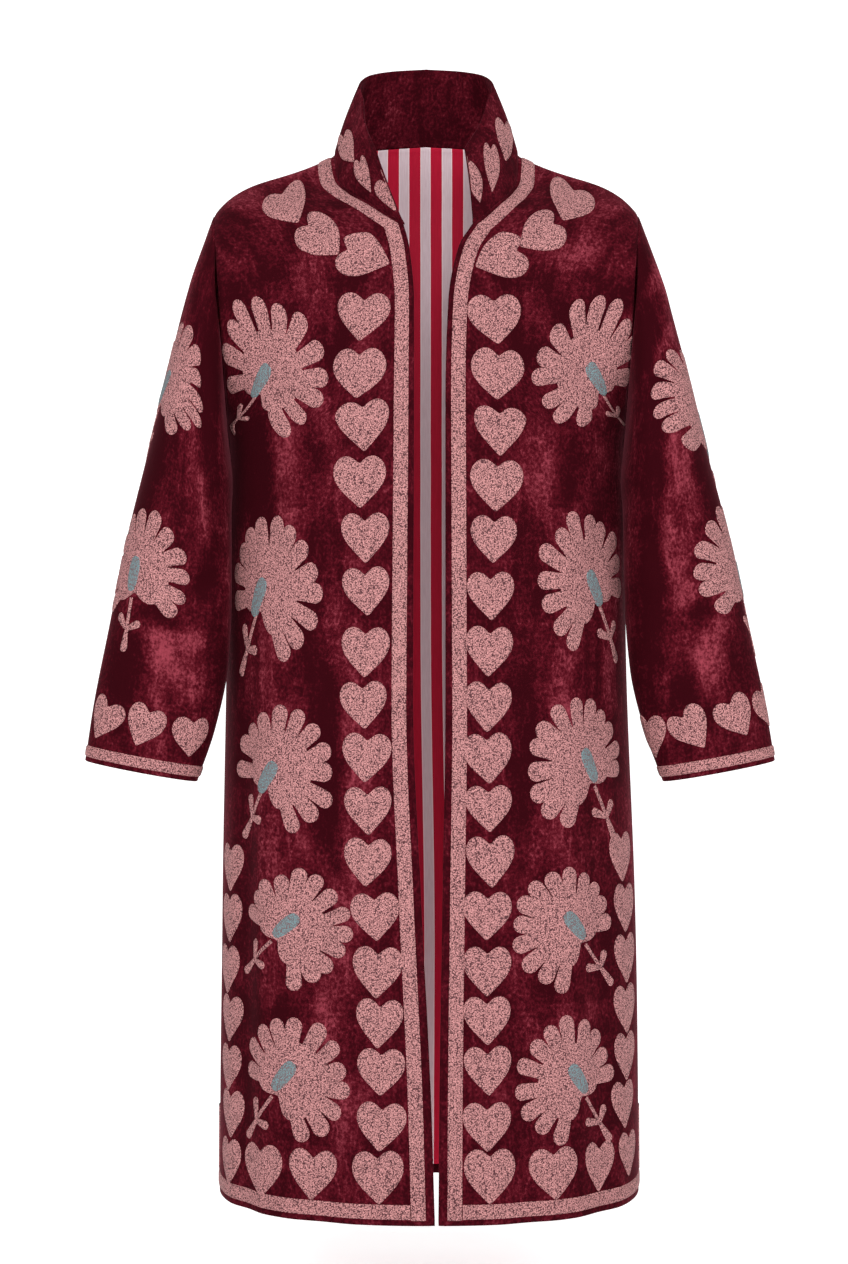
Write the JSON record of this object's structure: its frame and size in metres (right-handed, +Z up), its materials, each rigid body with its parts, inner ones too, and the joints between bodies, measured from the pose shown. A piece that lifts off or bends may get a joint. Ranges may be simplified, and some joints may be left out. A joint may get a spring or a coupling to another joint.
{
  "type": "duster coat",
  "caption": "Long open-front velvet duster coat with stand collar, long sleeves, side vents, striped lining and embroidered borders, filled out as when worn",
  "frame": {"origin": "middle of the neck base, level with the shoulder line, in the hollow where the wearer's or form's neck stands; the coat is held from here", "axes": "+Z up, -Y out of the open front, +X to the wearer's left"},
  "size_m": [0.7331, 0.2682, 1.2291],
  "materials": {
    "velvet": "burgundy cotton velvet with a short, slightly crushed pile",
    "lining": "smooth plain-woven lining, striped red and pale grey",
    "embroidery": "matte dusty-pink thread in close rows of chain stitch"
  },
  "bodies": {
    "root": {"back": "velvet", "border_back_hem": "embroidery", "border_back_neck": "embroidery", "border_cuff_left": "embroidery", "border_cuff_right": "embroidery", "border_front_left": "embroidery", "border_front_right": "embroidery", "collar": "velvet", "front_left": "velvet", "front_right": "velvet", "lining_back": "lining", "lining_front_left": "lining", "lining_front_right": "lining", "sleeve_left": "velvet", "sleeve_right": "velvet"}
  },
  "joints": []
}
